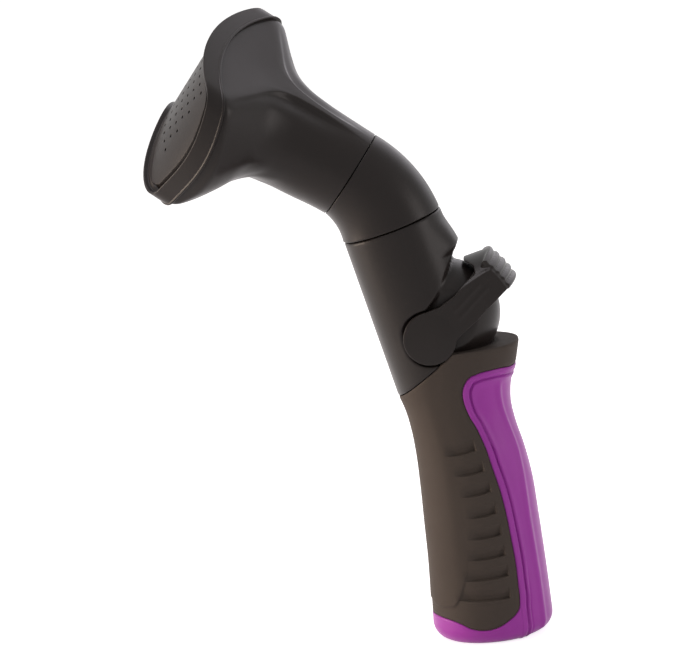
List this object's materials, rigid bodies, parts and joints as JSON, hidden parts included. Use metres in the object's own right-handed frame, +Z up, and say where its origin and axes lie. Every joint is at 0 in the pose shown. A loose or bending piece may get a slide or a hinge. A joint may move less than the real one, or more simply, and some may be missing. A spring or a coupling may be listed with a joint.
{
  "type": "handheld bath sprayer",
  "caption": "Hand-held pet bath sprayer with a soft grip, a thumb valve, a swivelling bent neck and a wide curved spray face on a flared head.",
  "frame": {"origin": "centre of the hose inlet's mouth", "axes": "+Z up along the hose axis into the handle, -X towards the spray, X-Z the plane of symmetry of the handle, valve and neck"},
  "size_m": [0.1356, 0.0876, 0.2471],
  "materials": {
    "coloured_plastic": "purple satin moulded plastic",
    "grip_rubber": "soft black over-moulded rubber",
    "black_plastic": "black satin moulded plastic",
    "seal_rubber": "black seal rubber",
    "steel": "stainless steel",
    "white_plastic": "white acetal and PTFE"
  },
  "bodies": {
    "handle": {"handle_core": "coloured_plastic", "rubber_grip": "grip_rubber", "inlet_socket": "black_plastic", "hose_washer": "seal_rubber", "inlet_screen": "steel", "flow_tube": "black_plastic", "tube_oring_lower": "seal_rubber", "tube_oring_upper": "seal_rubber", "valve_body": "black_plastic", "lower_seat": "white_plastic", "seat_oring": "seal_rubber", "upper_seat": "white_plastic", "seat_retainer": "black_plastic", "neck_clip": "steel"},
    "lever": {"valve_ball": "white_plastic", "stem_left": "black_plastic", "stem_right": "black_plastic", "stem_oring_left": "seal_rubber", "stem_oring_right": "seal_rubber", "thumb_lever": "black_plastic"},
    "neck": {"neck": "black_plastic", "neck_oring": "seal_rubber", "head_clip": "steel"},
    "head": {"head_shell": "black_plastic", "head_oring": "seal_rubber", "face_rim": "black_plastic", "plate_gasket": "seal_rubber", "spray_plate": "black_plastic"}
  },
  "joints": [
    {"name": "lever_pivot", "type": "hinge", "parent": "handle", "child": "lever", "pos_m": [-0.01174, 0, 0.12022], "axis": [0, 1, 0], "range_deg": [-2, 32]},
    {"name": "neck_swivel", "type": "hinge", "parent": "handle", "child": "neck", "pos_m": [-0.02246, 0, 0.16196], "axis": [-0.2487, 0, 0.9686], "continuous": true},
    {"name": "head_swivel", "type": "hinge", "parent": "neck", "child": "head", "pos_m": [-0.03562, 0, 0.18239], "axis": [-0.7793, 0, 0.6266], "continuous": true}
  ]
}
